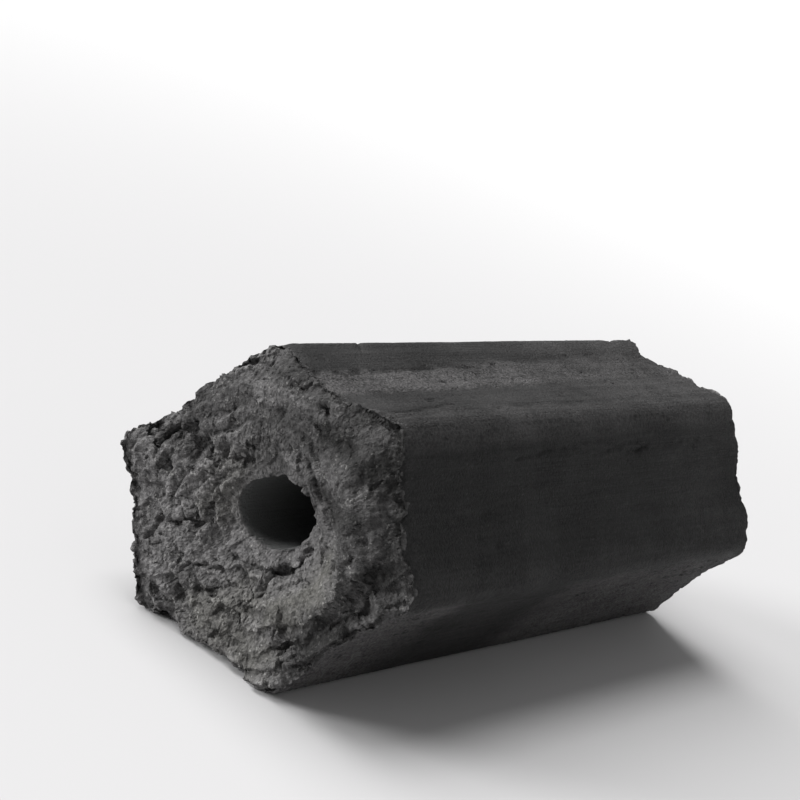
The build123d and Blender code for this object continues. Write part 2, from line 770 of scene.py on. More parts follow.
class Graph:
    """A node tree, with one method that makes any node and short ones for what comes up often.

    Sizes of noise and cells are in millimetres, where the vector they read is.
    """

    def __init__(self, tree: bpy.types.NodeTree) -> None:
        """Wraps a tree."""
        self.tree = tree

    def node(
        self, kind: str, settings: Optional[dict[str, Any]] = None, inputs: Optional[dict[Any, Any]] = None
    ) -> bpy.types.Node:
        """Makes a node.

        Args:
            kind: The node's type.
            settings: Its own properties, which are set first.
            inputs: What goes into its sockets, by name, identifier or number: a value or a link.

        Returns:
            The node.
        """
        made = self.tree.nodes.new(kind)
        for name, value in (settings or {}).items():
            setattr(made, name, value)
        for key, value in (inputs or {}).items():
            socket = self.find(made.inputs, key)
            if isinstance(value, Value):
                self.tree.links.new(value.socket, socket)
            else:
                socket.default_value = value
        return made

    @staticmethod
    def find(sockets: Any, key: Union[int, str]) -> bpy.types.NodeSocket:
        """Finds a socket.

        Args:
            sockets: A node's inputs or outputs.
            key: The socket's number, identifier or name.

        Returns:
            The socket.
        """
        if isinstance(key, int):
            return sockets[key]
        for socket in sockets:
            if socket.identifier == key:
                return socket
        return sockets[key]

    def out(self, made: bpy.types.Node, key: Union[int, str] = 0) -> Value:
        """An output of a node as a value."""
        return Value(self, self.find(made.outputs, key))

    def maths(self, operation: str, *terms: Term) -> Value:
        """Does one sum on numbers."""
        return self.out(self.node("ShaderNodeMath", {"operation": operation}, dict(enumerate(terms))))

    def vector(self, operation: str, *terms: Any) -> Value:
        """Does one sum on vectors."""
        return self.out(self.node("ShaderNodeVectorMath", {"operation": operation}, dict(enumerate(terms))))

    def scaled(self, vector: Value, amount: Term) -> Value:
        """A vector or a colour times a number."""
        inputs = {0: vector, "Scale": amount}
        return self.out(self.node("ShaderNodeVectorMath", {"operation": "SCALE"}, inputs))

    def drawn(self, vector: Value, share: float) -> Value:
        """A vector squeezed along the stick, so that what is read there is drawn out along it."""
        return self.vector("MULTIPLY", vector, (share, 1.0, 1.0))

    def part(self, vector: Value, axis: int) -> Value:
        """One of a vector's three numbers."""
        return self.out(self.node("ShaderNodeSeparateXYZ", {}, {0: vector}), axis)

    def mask(self, which: Mask) -> Value:
        """One of the shell's masks, in a geometry tree or in a material.

        Args:
            which: The mask.

        Returns:
            Its value at each point.
        """
        if self.tree.bl_idname == "ShaderNodeTree":
            return self.out(self.node("ShaderNodeAttribute", {"attribute_name": which.value}), "Fac")
        node = self.node("GeometryNodeInputNamedAttribute", {"data_type": "FLOAT"}, {"Name": which.value})
        return self.out(node, "Attribute")

    def noise(self, vector: Value, size: Term, detail: float = 3.0, rough: float = 0.55) -> Value:
        """Noise between about 0 and 1.

        Args:
            vector: Where it is read.
            size: Size of a lump.
            detail: Number of finer layers.
            rough: How strong the finer layers are.

        Returns:
            The noise.
        """
        inputs = {"Vector": vector, "Scale": 1.0 / size, "Detail": detail, "Roughness": rough}
        return self.out(self.node("ShaderNodeTexNoise", {"noise_dimensions": "3D"}, inputs))

    def cells(self, vector: Value, size: Term, melt: float = 0.0) -> tuple[Value, Value]:
        """Cells round scattered middles.

        Args:
            vector: Where they are read.
            size: Size of a cell.
            melt: How much neighbouring cells run together.

        Returns:
            The distance to the cell's middle, and three chance numbers for each cell.
        """
        inputs: dict[Any, Any] = {"Vector": vector, "Scale": 1.0 / size, "Smoothness": melt}
        node = self.node("ShaderNodeTexVoronoi", {"feature": "SMOOTH_F1" if melt else "F1"}, inputs)
        return self.out(node, "Distance"), self.out(node, "Color")

    def bent(self, vector: Value, size: float, amount: float) -> Value:
        """A vector pushed about by noise, so that what is read there loses its regular shape.

        Args:
            vector: The vector.
            size: Size of a bend.
            amount: How far it is pushed.

        Returns:
            The bent vector.
        """
        noise = self.node("ShaderNodeTexNoise", {}, {"Vector": vector, "Scale": 1.0 / size, "Detail": 2.0})
        centred = self.vector("SUBTRACT", self.out(noise, "Color"), (0.5, 0.5, 0.5))
        return self.vector("MULTIPLY_ADD", centred, (amount, amount, amount), vector)

    def mix_colour(self, share: Term, first: Any, second: Any) -> Value:
        """Mixes two colours.

        Args:
            share: How much of the second.
            first: A colour or a link.
            second: A colour or a link.

        Returns:
            The mixed colour.
        """
        inputs = {"Factor_Float": share, "A_Color": first, "B_Color": second}
        return self.out(self.node("ShaderNodeMix", {"data_type": "RGBA"}, inputs), "Result_Color")


@dataclass
class Weathering:
    """The Geometry Nodes tree that gives the shell its grain, flakes, laminations and drawn skin.

    Each field is an input of the tree. Sizes and heights are in millimetres.
    """

    seed: float = 3.0
    lump_height: float = 1.0
    lump_size: float = 7.0
    flake_height: float = 0.72
    flake_size: float = 2.7
    layer_height: float = 0.85
    layer_pitch: float = 2.9
    grain_height: float = 0.34
    grain_size: float = 1.0
    crack_depth: float = 0.75
    crumb_depth: float = 1.0
    wave_height: float = 0.22
    streak_height: float = 0.07
    pit_depth: float = 0.6
    wall_height: float = 0.16

    def sizes(self) -> dict[str, float]:
        """The tree's inputs by name."""
        return {size.name.replace("_", " ").capitalize(): getattr(self, size.name) for size in fields(self)}

    def tree(self, section: Section) -> bpy.types.NodeTree:
        """Builds the tree.

        Args:
            section: The stick's section, for the place of the hole.

        Returns:
            The tree, with its sizes as named inputs.
        """
        tree = bpy.data.node_groups.new("weathering", "GeometryNodeTree")
        face = tree.interface
        face.new_socket("Geometry", in_out="INPUT", socket_type="NodeSocketGeometry")
        for name, value in self.sizes().items():
            socket = face.new_socket(name, in_out="INPUT", socket_type="NodeSocketFloat")
            socket.default_value = value
        face.new_socket("Finish", in_out="INPUT", socket_type="NodeSocketMaterial")
        face.new_socket("Geometry", in_out="OUTPUT", socket_type="NodeSocketGeometry")

        graph = Graph(tree)
        start = graph.node("NodeGroupInput")
        size = {name: graph.out(start, name) for name in self.sizes()}
        wanted = (Mask.BROKEN, Mask.HOLE, Mask.CALM, Mask.WORN, Mask.RIM)
        broken, hole, calm, worn, rim = (graph.mask(which) for which in wanted)
        skin = 1.0 - broken.most(hole)

        along, across = (size["Seed"] * step for step in SEED_STEPS)
        shift = graph.out(graph.node("ShaderNodeCombineXYZ", {}, {0: along, 1: across}))
        place = graph.out(graph.node("GeometryNodeInputPosition"))
        spot = graph.vector("MULTIPLY_ADD", place, (1 / MM, 1 / MM, 1 / MM), shift)

        lumps = graph.noise(spot, size["Lump size"], detail=2.0, rough=0.5)
        lumps = (lumps - 0.5) * 2.0 * size["Lump height"]
        flakes = self.flakes(graph, spot, size, calm)
        layers = self.layers(graph, spot, size, section, calm)
        grain = self.grain(graph, spot, size, calm)
        cracks = self.cracks(graph, spot, size, calm)
        rough_break = lumps + flakes + layers + grain - cracks
        drawn_skin = self.drawn_skin(graph, spot, size, worn)
        crumbs = graph.noise(spot, 2.3, detail=4.0, rough=0.6).step(0.36, 0.72) * size["Crumb depth"]
        wall = (graph.noise(graph.drawn(spot, 0.35), 1.1, detail=4.0) - 0.5) * size["Wall height"] * 2.0
        height = broken * rough_break + skin * drawn_skin + hole * wall - rim * crumbs
        moved = self.push(graph, graph.out(start, "Geometry"), height)

        fine = (graph.noise(spot, 0.5, detail=3.0, rough=0.75) - 0.5) * broken * (1.0 - 0.4 * calm)
        crust = (graph.noise(spot, 0.42, detail=1.0) - 0.5) * skin * (0.18 + 0.75 * worn)
        finer = fine * (size["Grain height"] * 2.2) + crust * (size["Pit depth"] * 0.5)
        moved = self.push(graph, moved, finer)

        torn_face = (flakes + layers + grain * 1.5 + finer - cracks) * broken
        relief = torn_face + skin * drawn_skin - rim * crumbs * 0.2
        stored = graph.node(
            "GeometryNodeStoreNamedAttribute",
            {"data_type": "FLOAT", "domain": "POINT"},
            {"Geometry": moved, "Name": Mask.RELIEF.value, "Value": relief},
        )
        real = graph.node("GeometryNodeRealizeInstances", {}, {"Geometry": graph.out(stored, "Geometry")})
        inputs = {"Geometry": graph.out(real, "Geometry"), "Material": graph.out(start, "Finish")}
        dressed = graph.node("GeometryNodeSetMaterial", {}, inputs)
        graph.node("NodeGroupOutput", {}, {0: graph.out(dressed, "Geometry")})
        return tree

    @staticmethod
    def push(graph: Graph, geometry: Value, height: Value) -> Value:
        """Moves the surface out along its own normals.

        Args:
            graph: The tree.
            geometry: The surface.
            height: How far, in millimetres.

        Returns:
            The moved surface.
        """
        normal = graph.out(graph.node("GeometryNodeInputNormal"))
        inputs = {"Geometry": geometry, "Offset": graph.scaled(normal, height * MM)}
        return graph.out(graph.node("GeometryNodeSetPosition", {}, inputs), "Geometry")

    @staticmethod
    def flakes(graph: Graph, spot: Value, size: dict[str, Value], calm: Value) -> Value:
        """Flat-topped flakes at chance heights, with torn edges."""
        chances = graph.cells(graph.bent(spot, 2.2, 1.6), size["Flake size"], melt=0.12)[1]
        return (graph.part(chances, 0) - 0.5) * size["Flake height"] * (1.0 - 0.8 * calm)

    @staticmethod
    def layers(graph: Graph, spot: Value, size: dict[str, Value], section: Section, calm: Value) -> Value:
        """Laminations that curve round the hole, each torn off short of the next.

        Args:
            graph: The tree.
            spot: The place, in millimetres, moved by the seed.
            size: The tree's inputs.
            section: The stick's section, for the place of the hole.
            calm: Where the break is smoother.

        Returns:
            The height.
        """
        across = graph.part(spot, 1) - size["Seed"] * SEED_STEPS[1] - section.hole_y
        up = graph.part(spot, 2) - (section.hole_z + section.middle_z)
        radius = graph.maths("SQRT", across * across + up * up)
        sway = graph.noise(spot, 6.0, detail=3.0) * 7.0
        turn = graph.maths("ARCTAN2", up, across) * 1.1
        saw = ((radius + sway + turn) / size["Layer pitch"]).fraction()
        ridge = saw.step(0.0, 0.82) * saw.step(1.0, 0.86)
        patchy = graph.noise(spot, 9.0, detail=1.0).step(0.40, 0.62)
        return (ridge - 0.5) * size["Layer height"] * patchy * (1.0 - 0.6 * calm)

    @staticmethod
    def grain(graph: Graph, spot: Value, size: dict[str, Value], calm: Value) -> Value:
        """Crumbs of pressed sawdust, standing proud between lower gaps, which the material darkens with
        painted shade.

        Args:
            graph: The tree.
            spot: The place, in millimetres.
            size: The tree's own named sizes.
            calm: Where the crumbs lie flatter.

        Returns:
            The height of the crumbs.
        """
        away, chances = graph.cells(graph.bent(spot, 0.9, 0.5), size["Grain size"])
        crown = (0.55 - away) * (0.5 + graph.part(chances, 1))
        return crown * size["Grain height"] * (1.0 - 0.75 * calm)

    @staticmethod
    def cracks(graph: Graph, spot: Value, size: dict[str, Value], calm: Value) -> Value:
        """Thin cracks that wander over a break and die out: long ones, and short ones between them.

        Args:
            graph: The tree.
            spot: The place, in millimetres, moved by the seed.
            size: The tree's inputs.
            calm: Where the break is smoother.

        Returns:
            The depth.
        """
        long_gap = abs(graph.noise(graph.bent(spot, 1.6, 0.9), 6.5, detail=2.0, rough=0.5) - 0.5)
        short_gap = abs(graph.noise(graph.bent(spot, 1.1, 0.7), 3.4, detail=1.0) - 0.56)
        long_share = graph.noise(spot, 5.0, detail=1.0).step(0.46, 0.60)
        long_cracks = long_gap.step(0.022, 0.004) * long_share
        short_cracks = 0.45 * short_gap.step(0.020, 0.004) * (1.0 - long_share)
        kept = graph.noise(spot, 4.2, detail=1.0).step(0.44, 0.56)
        return (long_cracks + short_cracks) * kept * size["Crack depth"] * (1.0 - 0.9 * calm)

    @staticmethod
    def drawn_skin(graph: Graph, spot: Value, size: dict[str, Value], worn: Value) -> Value:
        """The skin that the die drew along the stick, with pits where it is worn.

        Args:
            graph: The tree.
            spot: The place, in millimetres, moved by the seed.
            size: The tree's inputs.
            worn: Where the skin is worn, which is also where painted light lifts its tone.

        Returns:
            The height.
        """
        wave = (graph.noise(graph.drawn(spot, 0.25), 9.0, detail=2.0) - 0.5) * 2.0
        streak = (graph.noise(graph.drawn(spot, 0.045), 0.85, detail=2.0) - 0.5) * 2.0
        away = graph.cells(graph.bent(graph.drawn(spot, 0.75), 1.0, 0.7), 1.7)[0]
        picked = graph.noise(spot, 2.6, detail=1.0).step(0.46, 0.60)
        spread = graph.noise(spot, 5.0, detail=3.0, rough=0.6).step(0.40, 0.66)
        pits = away.step(0.42, 0.16) * picked * spread * (0.10 + worn)
        scuff = (graph.noise(spot, 1.3, detail=3.0, rough=0.6) - 0.5) * worn * 0.9
        drawn = wave * size["Wave height"] + streak * size["Streak height"]
        return drawn - pits * size["Pit depth"] + scuff * 0.5

    def apply(
        self, shell: bpy.types.Object, section: Section, finish: bpy.types.Material
    ) -> bpy.types.Object:
        """Runs the tree on the shell and thins the result.

        Args:
            shell: The bare shell.
            section: The stick's section.
            finish: The charcoal's material.

        Returns:
            The finished piece, with no modifier on it.
        """
        tree = self.tree(section)
        values = {**self.sizes(), "Finish": finish}
        modifier = shell.modifiers.new("weathering", "NODES")
        modifier.node_group = tree
        for item in tree.interface.items_tree:
            if item.in_out == "INPUT" and item.name in values:
                modifier[item.identifier] = values[item.name]
        rough = self.baked(shell, "weathered")
        triangles = 2 * len(rough.data.polygons)
        rough.modifiers.new("thin", "DECIMATE").ratio = min(1.0, MOST_FACES / triangles)
        piece = self.baked(rough, "pressed_charcoal")
        self.shade(piece.data)
        return piece

    @staticmethod
    def shade(mesh: bpy.types.Mesh) -> None:
        """Leaves the breaks faceted, grain by grain, and rounds the skin and the hole.

        Args:
            mesh: The finished mesh, with its masks.
        """
        broken = np.empty(len(mesh.vertices), np.float32)
        mesh.attributes[Mask.BROKEN.value].data.foreach_get("value", broken)
        corners = np.empty(len(mesh.loops), np.int32)
        mesh.loops.foreach_get("vertex_index", corners)
        starts = np.empty(len(mesh.polygons), np.int32)
        mesh.polygons.foreach_get("loop_start", starts)
        mesh.polygons.foreach_set("use_smooth", broken[corners[starts]] < 0.5)
        mesh.update()

    @staticmethod
    def baked(source: bpy.types.Object, name: str) -> bpy.types.Object:
        """Turns what an object's modifiers give into a plain mesh.

        Args:
            source: The object, which is removed.
            name: What the new object and its mesh are called.

        Returns:
            The new object.
        """
        graph = bpy.context.evaluated_depsgraph_get()
        mesh = bpy.data.meshes.new_from_object(source.evaluated_get(graph))
        mesh.name = name
        bpy.data.objects.remove(source)
        return linked(name, mesh)


@dataclass(frozen=True)
class CharcoalFinish:
    """Charred pressed sawdust: a dull dark skin, and paler grainy breaks with a few glints. Its colour also
    carries painted light and shade: paler bands that lift some sides, shaded zones and low spots, lighter
    crests, and glints.
    """

    # the skin's own dark tone, kept very dark as painted shade for side 1, which faces away from the lights
    skin: Colour = (0.0150, 0.0148, 0.0148)
    # the paler skin of the worn bands, partly painted light on the top and side 2
    worn: Colour = (0.088, 0.085, 0.0855)
    broken: Colour = (0.140, 0.1365, 0.1370)
    pale: Colour = (0.114, 0.1115, 0.1040)
    # painted shade: the colour of the front break's shaded zones
    soot: Colour = (0.022, 0.0216, 0.0212)
    # painted shade: the colour that the low spots of the relief are darkened towards
    gap: Colour = (0.012, 0.0118, 0.0115)
    hole: Colour = (0.085, 0.087, 0.086)
    # painted highlight: the colour of the glint specks
    glint: Colour = (0.30, 0.295, 0.285)
    skin_roughness: float = 0.62
    broken_roughness: float = 0.78
    specular: float = 0.2
    bump: float = 1.0
    bump_height: float = 0.25

    def material(self) -> bpy.types.Material:
        """Builds the material.

        Returns:
            The material, which reads the shell's masks and relief.
        """
        made = bpy.data.materials.new("charcoal")
        made.use_nodes = True
        made.node_tree.nodes.clear()
        graph = Graph(made.node_tree)
        wanted = (Mask.BROKEN, Mask.HOLE, Mask.WORN, Mask.SOOT, Mask.RELIEF)
        broken, hole, worn, soot, relief = (graph.mask(which) for which in wanted)
        spot = graph.scaled(graph.out(graph.node("ShaderNodeTexCoord"), "Object"), 1 / MM)
        fine = graph.noise(spot, 0.7, detail=4.0, rough=0.65)

        bare = broken.most(self.chipped(graph, spot))
        colour = graph.mix_colour(bare, self.skin_colour(graph, spot), self.break_colour(graph, spot, fine))
        # painted shade: the low spots of the relief are darkened, as if in shade
        shaded_low_spots = relief.step(-0.05, -0.60)
        colour = graph.mix_colour(shaded_low_spots * (0.20 + 0.38 * broken), colour, rgba(self.gap))
        colour = graph.mix_colour(hole, colour, rgba(self.hole))

        chance = graph.part(graph.cells(graph.bent(spot, 0.5, 0.25), 0.26)[1], 0)
        gathered = graph.noise(spot, 2.4, detail=2.0).step(0.42, 0.62)
        glints = chance.step(0.90, 0.96) * gathered * (0.06 + 0.94 * broken)
        glints = glints * (1.0 - hole) * (1.0 - 0.8 * soot)
        # painted highlight: the glint specks are painted pale, besides their lower roughness
        colour = graph.mix_colour(glints * 0.75, colour, rgba(self.glint))

        rough = self.skin_roughness + (self.broken_roughness - self.skin_roughness) * broken
        rough = rough + (fine - 0.5) * 0.25 - glints * 0.38

        grit = graph.noise(spot, 0.32, detail=3.0, rough=0.7)
        crumbs = graph.cells(graph.bent(spot, 0.4, 0.25), 0.55)[0]
        scratches = graph.noise(graph.drawn(spot, 0.03), 0.35, detail=2.0)
        tiny_pits = graph.cells(spot, 0.8)[0].step(0.30, 0.10)
        on_break = grit * 1.5 - crumbs * 0.8
        on_skin = grit * (1.0 + 2.6 * worn) + scratches * 0.8 - tiny_pits * (0.3 + 1.4 * worn)
        height = broken * on_break + (1.0 - broken) * on_skin
        inputs = {"Strength": self.bump, "Distance": self.bump_height * MM, "Height": height}
        bump = graph.node("ShaderNodeBump", {}, inputs)

        inputs = {
            "Base Color": colour,
            "Roughness": rough,
            "Specular IOR Level": self.specular,
            "Normal": graph.out(bump, "Normal"),
        }
        shader = graph.node("ShaderNodeBsdfPrincipled", {}, inputs)
        graph.node("ShaderNodeOutputMaterial", {}, {"Surface": graph.out(shader)})
        return made

    @staticmethod
    def chipped(graph: Graph, spot: Value) -> Value:
        """Where the skin beside a break has flaked off."""
        ragged = graph.noise(spot, 2.3, detail=3.0, rough=0.6).step(0.38, 0.66)
        return (graph.mask(Mask.RIM) * (0.25 + 1.5 * ragged)).step(0.62, 0.85)

    def skin_colour(self, graph: Graph, spot: Value) -> Value:
        """The skin's colour: drawn streaks, broad drags and fine specks, and paler worn bands that are
        partly painted light.

        Args:
            graph: The material's tree.
            spot: The place, in millimetres.

        Returns:
            The colour.
        """
        worn = graph.mask(Mask.WORN)
        streak = graph.noise(graph.drawn(spot, 0.05), 0.9, detail=3.0).step(0.32, 0.68)
        drag = graph.noise(graph.bent(spot, 6.0, 4.0), 11.0, detail=4.0, rough=0.62).step(0.34, 0.66)
        speck = graph.noise(spot, 0.42, detail=2.0).step(0.32, 0.68)
        # painted light in part: the worn bands lift the skin towards a paler colour
        skin = graph.mix_colour(worn, rgba(self.skin), rgba(self.worn))
        return graph.scaled(skin, 0.20 + 0.50 * drag + 0.34 * streak + (0.60 + 0.4 * worn) * speck)

    def break_colour(self, graph: Graph, spot: Value, fine: Value) -> Value:
        """The break's colour: pale zones, darker zones of painted shade, and lighter tops as a painted
        highlight.

        Args:
            graph: The material's tree.
            spot: The place, in millimetres.
            fine: The finest noise.

        Returns:
            The colour.
        """
        # painted shade: darkens the zones of the front break that turn away from the side light
        soot = graph.mask(Mask.SOOT)
        ragged = soot + (graph.noise(spot, 3.0, detail=4.0, rough=0.65) - 0.5) * 0.6 * soot
        colour = graph.mix_colour(graph.mask(Mask.PALE), rgba(self.broken), rgba(self.pale))
        colour = graph.mix_colour(ragged, colour, rgba(self.soot))
        cloud = graph.noise(spot, 7.0, detail=3.0)
        colour = graph.scaled(colour, 0.40 + 0.36 * cloud + 0.84 * fine.step(0.30, 0.70))
        # painted highlight: the raised places of the break are made lighter
        painted_crest_light = graph.mask(Mask.RELIEF).step(0.10, 0.62)
        return graph.scaled(colour, 1.0 + 0.45 * painted_crest_light)


@dataclass
class CharcoalStick:
    """The stick itself: its marks, its shell and its finish."""

    section: Section
    seed: int = 11

    def front_marks(self) -> tuple[Any, ...]:
        """The larger forms of the front break, placed from the hole's middle.

        Returns:
            The marks, whose heights add up.
        """
        return (
            # Outline: the top's cut corner, the spike at the left rib, and the notches
            Swell(12.1, 20.9, -2.6, 4.5),
            Swell(24.2, -1.4, 2.2, 3.6),
            Swell(21.6, 4.4, -1.7, 2.4),
            Swell(-25.4, -0.7, -2.4, 5.0),
            Swell(-19.0, 15.4, 0.9, 3.0),
            Swell(-18.6, 11.4, -1.5, 2.2),
            Swell(-17.8, -11.4, 3.0, 3.6),
            Swell(-2.5, 20.5, 1.8, 5.0),
            Swell(6.9, -22.4, -3.2, 2.0),
            Swell(11.5, -22.0, -1.0, 1.6),
            Swell(-3.5, -22.0, -1.2, 1.4),
            # The crest right of the hole, and the rims crumbled away beside it
            Crest(15.2, 108.0, 250.0, 2.0, 1.2, 5.0),
            Smear(((-13.5, 20.0), (-24.5, 1.5)), -1.7, 2.3),
            Smear(((10.5, 21.0), (-12.0, 21.0)), -1.3, 2.4),
            Swell(24.5, -7.5, 1.5, 4.6),
            Swell(20.0, -15.5, 1.3, 4.6),
            Swell(-12.6, -21.6, 1.7, 4.2),
            # The funnel at the right of the hole, its proud left lip, and the chunks below
            Swell(-8.0, -0.6, -3.6, 5.6),
            Swell(7.4, 0.6, 1.9, 4.6),
            Swell(-14.6, -11.2, -1.3, 2.8),
            Cleft(((-9.6, -10.8), (-11.2, -13.5), (-10.8, -15.6)), 1.6, 0.85),
            Swell(-15.9, -13.2, 1.6, 1.4),
            Swell(-13.4, -16.4, 1.3, 1.2),
            Swell(-19.0, -9.6, 1.0, 1.2),
            # The torn lip under the hole, the valley from the spike, and the cracks
            Cleft(((-6.6, -3.6), (-5.6, -5.6), (-4.4, -7.6), (-4.0, -10.8)), 1.5, 0.7),
            Cleft(((19.8, 1.8), (17.0, 4.0), (12.3, 2.6), (7.1, 4.6)), 2.1, 1.3),
            Swell(13.2, 0.2, 1.2, 1.4),
            Cleft(((14.8, -11.8), (13.6, -8.8), (11.2, -7.3), (8.4, -6.2)), 1.2, 0.6),
            Cleft(((24.0, -5.0), (19.5, -6.5), (16.0, -5.2), (12.5, -6.0)), 1.1, 0.8),
            Cleft(((9.5, -18.5), (4.6, -15.6), (0.0, -12.4)), 0.9, 0.7),
            Cleft(((8.2, -12.8), (4.8, -11.4), (1.2, -10.8)), 0.8, 0.5),
            # Pits above the hole, and the loose ridge at the lower right
            Swell(-2.7, 17.9, -1.3, 1.0),
            Swell(-2.1, 14.9, -1.1, 1.2),
            Swell(4.4, 13.8, -1.0, 0.9),
            Swell(-8.5, 14.8, -1.2, 2.0),
            Swell(-22.2, -2.6, 1.5, 1.3),
            Swell(-19.9, -6.4, 1.1, 1.0),
            Swell(-23.9, -0.4, 1.2, 0.9),
        )

    def rear_marks(self) -> tuple[Any, ...]:
        """The larger forms of the rear break, placed from the hole's middle.

        Returns:
            The marks, whose heights add up.
        """
        return (
            Swell(-17.0, 14.0, 1.8, 3.2),
            Swell(-22.4, 4.0, 1.8, 3.0),
            Swell(5.6, 21.0, -2.6, 3.2),
            Swell(13.5, 19.5, 1.6, 3.0),
            Crest(13.5, 200.0, 340.0, 1.1, 1.2, 2.5),
            Cleft(((-12.0, 6.0), (-9.0, 10.0), (-3.0, 12.0), (2.0, 15.0)), 1.2, 0.8),
            Cleft(((10.0, -4.0), (14.0, -9.0), (13.0, -15.0)), 1.0, 0.6),
            Swell(9.0, 8.0, -1.4, 4.0),
            Swell(-9.0, -12.0, 1.2, 4.5),
        )

    def skin_marks(self) -> tuple[Any, ...]:
        """Seams, cracks and chips of the six sides.

        Returns:
            Those listed one by one, most of them on the top, and then the chance ones of the other sides.
        """
        marks: list[Any] = [
            # Two creases and a step along the top, then the cracks near its front
            Seam(0, ((-52.0, -3.5), (-30.0, -3.6), (-5.0, -4.9)), 0.36, 0.5, 3),
            Seam(0, ((-5.0, -4.9), (22.0, -6.3), (52.0, -6.0)), 0.16, 0.9, 3),
            Seam(0, ((-53.0, 8.7), (-40.0, 8.9), (-33.0, 8.3), (-28.0, 7.6)), 0.24, 0.26, 8),
            Seam(0, ((-50.0, 10.2), (-20.0, 9.6), (10.0, 8.4), (50.0, 7.8)), 0.14, 0.5, 9),
            Seam(0, ((-26.0, -13.4), (-30.0, -9.8), (-35.6, -6.1), (-37.0, -4.4)), 0.42, 0.34, 6),
            Seam(0, ((-31.2, -13.6), (-31.6, -11.8), (-30.6, -10.0)), 0.36, 0.3, 12),
            Seam(0, ((-42.0, -12.6), (-40.5, -9.4), (-41.6, -6.8)), 0.26, 0.3, 14),
            Seam(0, ((-20.0, -13.4), (-18.4, -10.4)), 0.3, 0.3, 16),
            Dent(0, -31.0, 5.7, 0.5, 1.6, 0.5),
            Dent(0, 44.0, -12.2, 0.7, 1.3, 2.4),
            Dent(1, -36.0, -3.0, 0.25, 4.0, 2.0),
            Dent(1, -8.0, 4.0, 0.25, 7.0, 2.6),
        ]
        draw = np.random.default_rng(self.seed)
        for side in range(1, self.section.sides):
            for seam in range(3):
                across = draw.uniform(-9.0, 9.0)
                start = draw.uniform(-48.0, 10.0)
                end = start + draw.uniform(18.0, 46.0)
                bend = across + draw.uniform(-1.2, 1.2)
                path = ((start, across), ((start + end) / 2, bend), (end, across + draw.uniform(-1.0, 1.0)))
                sizes = (draw.uniform(0.12, 0.26), draw.uniform(0.3, 0.5))
                marks.append(Seam(side, path, *sizes, seed=20 + 7 * side + seam))
            for _ in range(4):
                place = (draw.uniform(-46.0, 46.0), draw.uniform(-10.0, 10.0))
                shape = (draw.uniform(0.15, 0.4), draw.uniform(0.8, 3.0), draw.uniform(0.5, 1.2))
                marks.append(Dent(side, *place, *shape))
        return tuple(marks)

    def wear(self) -> tuple[WearAndLight, ...]:
        """Where the skin is paler and rougher; the band along the top is the most worn, and the strong bands
        on the top and on side 2 are partly painted light.

        Returns:
            The bands, side by side.
        """
        return (
            # the top's bands: wear, and partly painted light that lifts the top above side 1
            WearAndLight(0, (-60.0, -4.0), (-2.9, 1.6), 1.0, 26.0),
            WearAndLight(0, (-4.0, 60.0), (-4.6, 0.4), 0.66, 20.0),
            WearAndLight(0, (-60.0, 60.0), (-14.0, 14.0), 0.12),
            WearAndLight(0, (-60.0, 60.0), (1.4, 7.6), 0.20),
            WearAndLight(0, (20.0, 60.0), (-12.0, 8.0), 0.42, 22.0, 3.0),
            WearAndLight(0, (-60.0, 60.0), (9.6, 14.0), 0.36),
            WearAndLight(1, (-60.0, 60.0), (-14.0, -12.0), 0.20),
            WearAndLight(1, (34.0, 60.0), (-14.0, 14.0), 0.08, 14.0),
            WearAndLight(2, (-60.0, 60.0), (-14.0, 14.0), 0.10),
            # side 2's strong bands: painted light, lifting the side that faces the floor
            WearAndLight(2, (-60.0, -40.0), (-9.0, 14.0), 1.0, 18.0, 4.0),
            WearAndLight(2, (14.0, 60.0), (-8.0, 12.0), 0.95, 26.0, 5.0),
            WearAndLight(3, (-40.0, 34.0), (-5.0, 3.0), 0.40, 20.0, 4.0),
            WearAndLight(4, (-50.0, 10.0), (-3.0, 4.0), 0.45, 24.0, 3.0),
            WearAndLight(4, (-60.0, 60.0), (10.8, 14.0), 0.25),
            WearAndLight(5, (-20.0, 50.0), (-6.0, 0.0), 0.50, 20.0, 3.0),
            WearAndLight(5, (-60.0, 60.0), (-14.0, -11.4), 0.25),
        )

    def calm_spots(self) -> tuple[Union[Swell, Smear], ...]:
        """Where the front break is smoother than the rest.

        Returns:
            The spots, each from 0 to its own amount.
        """
        return (
            Swell(-12.2, -3.4, 1.0, 4.2),
            Swell(-10.4, -8.8, 0.9, 3.6),
            Swell(15.6, 10.8, 1.0, 5.0),
            Swell(2.0, 14.5, 0.9, 5.6),
            Swell(-9.0, 14.0, 0.9, 5.6),
            Swell(-20.0, 4.0, 0.7, 5.0),
            Swell(-16.0, -10.0, 1.0, 4.4),
            Swell(-8.6, -18.6, 0.9, 3.4),
            Smear(self.ring(6.0), 0.85, 1.4),
        )

    @staticmethod
    def ring(radius: float, corners: int = 16) -> tuple[Place, ...]:
        """A closed path round the hole."""
        turns = [math.tau * corner / corners for corner in range(corners + 1)]
        return tuple((radius * math.cos(turn), radius * math.sin(turn)) for turn in turns)

